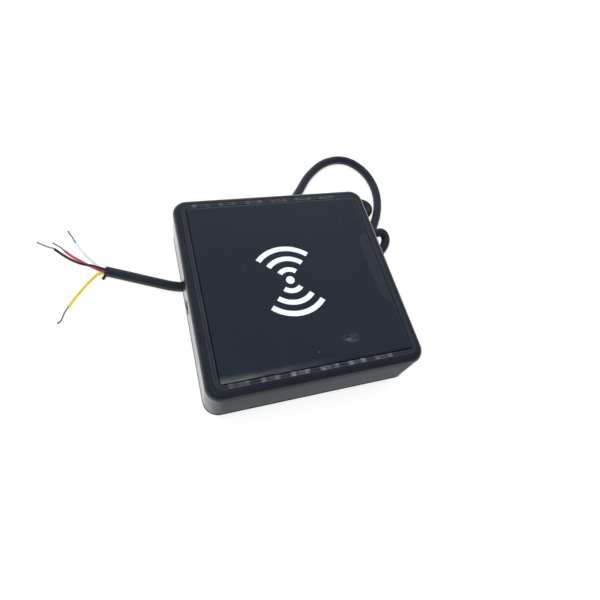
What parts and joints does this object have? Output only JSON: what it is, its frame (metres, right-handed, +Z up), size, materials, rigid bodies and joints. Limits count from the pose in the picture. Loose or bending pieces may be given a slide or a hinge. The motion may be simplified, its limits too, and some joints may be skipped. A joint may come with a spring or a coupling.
{
  "type": "rfid card reader",
  "caption": "Square desk or wall proximity card reader with a glossy raised face panel, a thin light ring, rubber feet and a long thin cable ending in stripped leads.",
  "frame": {"origin": "centre of the case on the plane the four feet stand on", "axes": "+Z up through the face panel, +Y towards the rear wall with the cable outlet, -X towards the wall with the lock screw"},
  "size_m": [0.1685, 0.1293, 0.0273],
  "materials": {
    "gloss_black": "polished",
    "smoked_ring": "smoked translucent, satin",
    "panel_black": "polished",
    "tape": "adhesive foam",
    "white_ink": "printed",
    "clear_film": "thin film",
    "cover_black": "fine texture",
    "gasket_rubber": "moulded",
    "foot_rubber": "moulded",
    "label_white": "blank printed label stock",
    "screw_steel": "black zinc",
    "brass": "knurled",
    "board_green": "solder mask",
    "zinc_steel": "zinc",
    "copper_winding": "enamelled copper",
    "tinned_wire": "tinned",
    "strip_white": "solder mask",
    "lamp_body": "phosphor in white package",
    "part_black": "moulded",
    "chip_tan": "ceramic",
    "can_steel": "drawn can",
    "can_aluminium": "sleeved can",
    "nylon_cream": "moulded",
    "pvc_black": "smooth",
    "pvc_red": "smooth",
    "pvc_white": "smooth",
    "pvc_yellow": "smooth",
    "jacket_black": "matt pvc",
    "filler_brown": "waxed fibre",
    "grommet_rubber": "moulded"
  },
  "bodies": {
    "root": {"case_shell": "gloss_black", "light_ring": "smoked_ring", "face_panel": "panel_black", "panel_adhesive": "tape", "wave_symbol": "white_ink", "film_tab": "clear_film", "rear_cover": "cover_black", "case_gasket": "gasket_rubber", "rubber_feet": "foot_rubber", "rear_label": "label_white", "lock_screw": "screw_steel", "lock_insert": "brass", "main_board": "board_green", "board_screws": "zinc_steel", "antenna_coil": "copper_winding", "coil_leads": "tinned_wire", "led_strips": "strip_white", "leds": "lamp_body", "led_leads": "tinned_wire", "buzzer": "part_black", "controller": "part_black", "reader_chip": "part_black", "crystal": "can_steel", "electrolytics": "can_aluminium", "chip_parts": "chip_tan", "regulator": "part_black", "diode": "part_black", "wire_header": "nylon_cream", "wire_plug": "nylon_cream", "inner_wire_black": "pvc_black", "inner_wire_white": "pvc_white", "inner_wire_yellow": "pvc_yellow", "inner_wire_red": "pvc_red", "cable_grommet": "grommet_rubber", "cable_entry": "jacket_black", "cable_tie": "nylon_cream", "cable_filler": "filler_brown", "cable_jacket": "jacket_black", "lead_black": "pvc_black", "lead_red": "pvc_red", "lead_white": "pvc_white", "lead_yellow": "pvc_yellow", "tip_black": "tinned_wire", "tip_red": "tinned_wire", "tip_white": "tinned_wire", "tip_yellow": "tinned_wire"}
  },
  "joints": []
}
